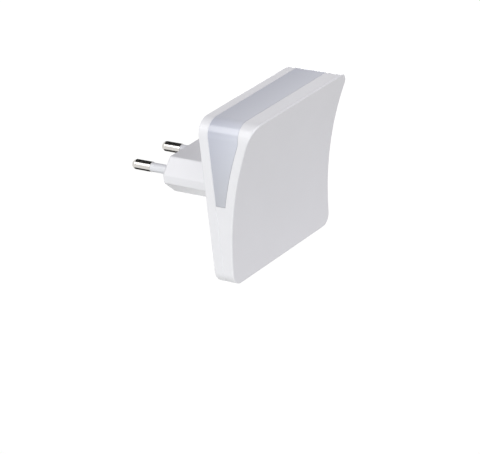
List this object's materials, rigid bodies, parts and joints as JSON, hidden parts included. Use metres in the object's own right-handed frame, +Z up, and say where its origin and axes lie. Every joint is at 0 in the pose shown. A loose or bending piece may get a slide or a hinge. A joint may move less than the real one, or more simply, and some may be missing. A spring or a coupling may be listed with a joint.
{
  "type": "plug-in night light",
  "caption": "Plug-in night light with a two-pin mains plug. Its concave front cover flares at the top over a translucent band that lets the light out, and a slide switch sits underneath.",
  "frame": {"origin": "on the plug's flat end face, midway between the two pins", "axes": "+Y along the pins, from the light towards the socket; +Z up, with the housing's flared edge at the top; +X to the right seen from the front of the light"},
  "size_m": [0.0622, 0.0749, 0.0654],
  "materials": {
    "white_abs": "fine satin moulding texture",
    "opal_polycarbonate": "satin, translucent opal",
    "plated_brass": "bright nickel plating",
    "pin_sleeve": "smooth",
    "brown_wire": "smooth",
    "blue_wire": "smooth",
    "board": "white solder mask",
    "led": "clear resin over phosphor",
    "black_ceramic": "matt",
    "black_epoxy": "matt moulding",
    "red_epoxy": "glossy",
    "can_aluminium": "brushed can",
    "resistor_body": "lacquered",
    "tinned_steel": "tinned sheet",
    "contact_brass": "bright",
    "screw_steel": "zinc plated"
  },
  "bodies": {
    "housing": {"front_cover": "white_abs", "back_cover": "white_abs", "diffuser": "opal_polycarbonate", "plug_housing": "white_abs", "live_pin": "plated_brass", "neutral_pin": "plated_brass", "live_pin_sleeve": "pin_sleeve", "neutral_pin_sleeve": "pin_sleeve", "live_lead": "brown_wire", "neutral_lead": "blue_wire", "circuit_board": "board", "leds": "led", "chip_resistors": "black_ceramic", "bridge_rectifier": "black_epoxy", "film_capacitor": "red_epoxy", "smoothing_capacitor": "can_aluminium", "fusible_resistor": "resistor_body", "bleeder_resistor": "resistor_body", "switch_case": "tinned_steel", "switch_terminals": "contact_brass", "housing_screws": "screw_steel", "board_screws": "screw_steel"},
    "knob": {"switch_knob": "white_abs", "contact_bridge": "contact_brass"}
  },
  "joints": [
    {"name": "switch_slide", "type": "slide", "parent": "housing", "child": "knob", "axis": [1, 0, 0], "range_m": [0, 0.003]}
  ]
}
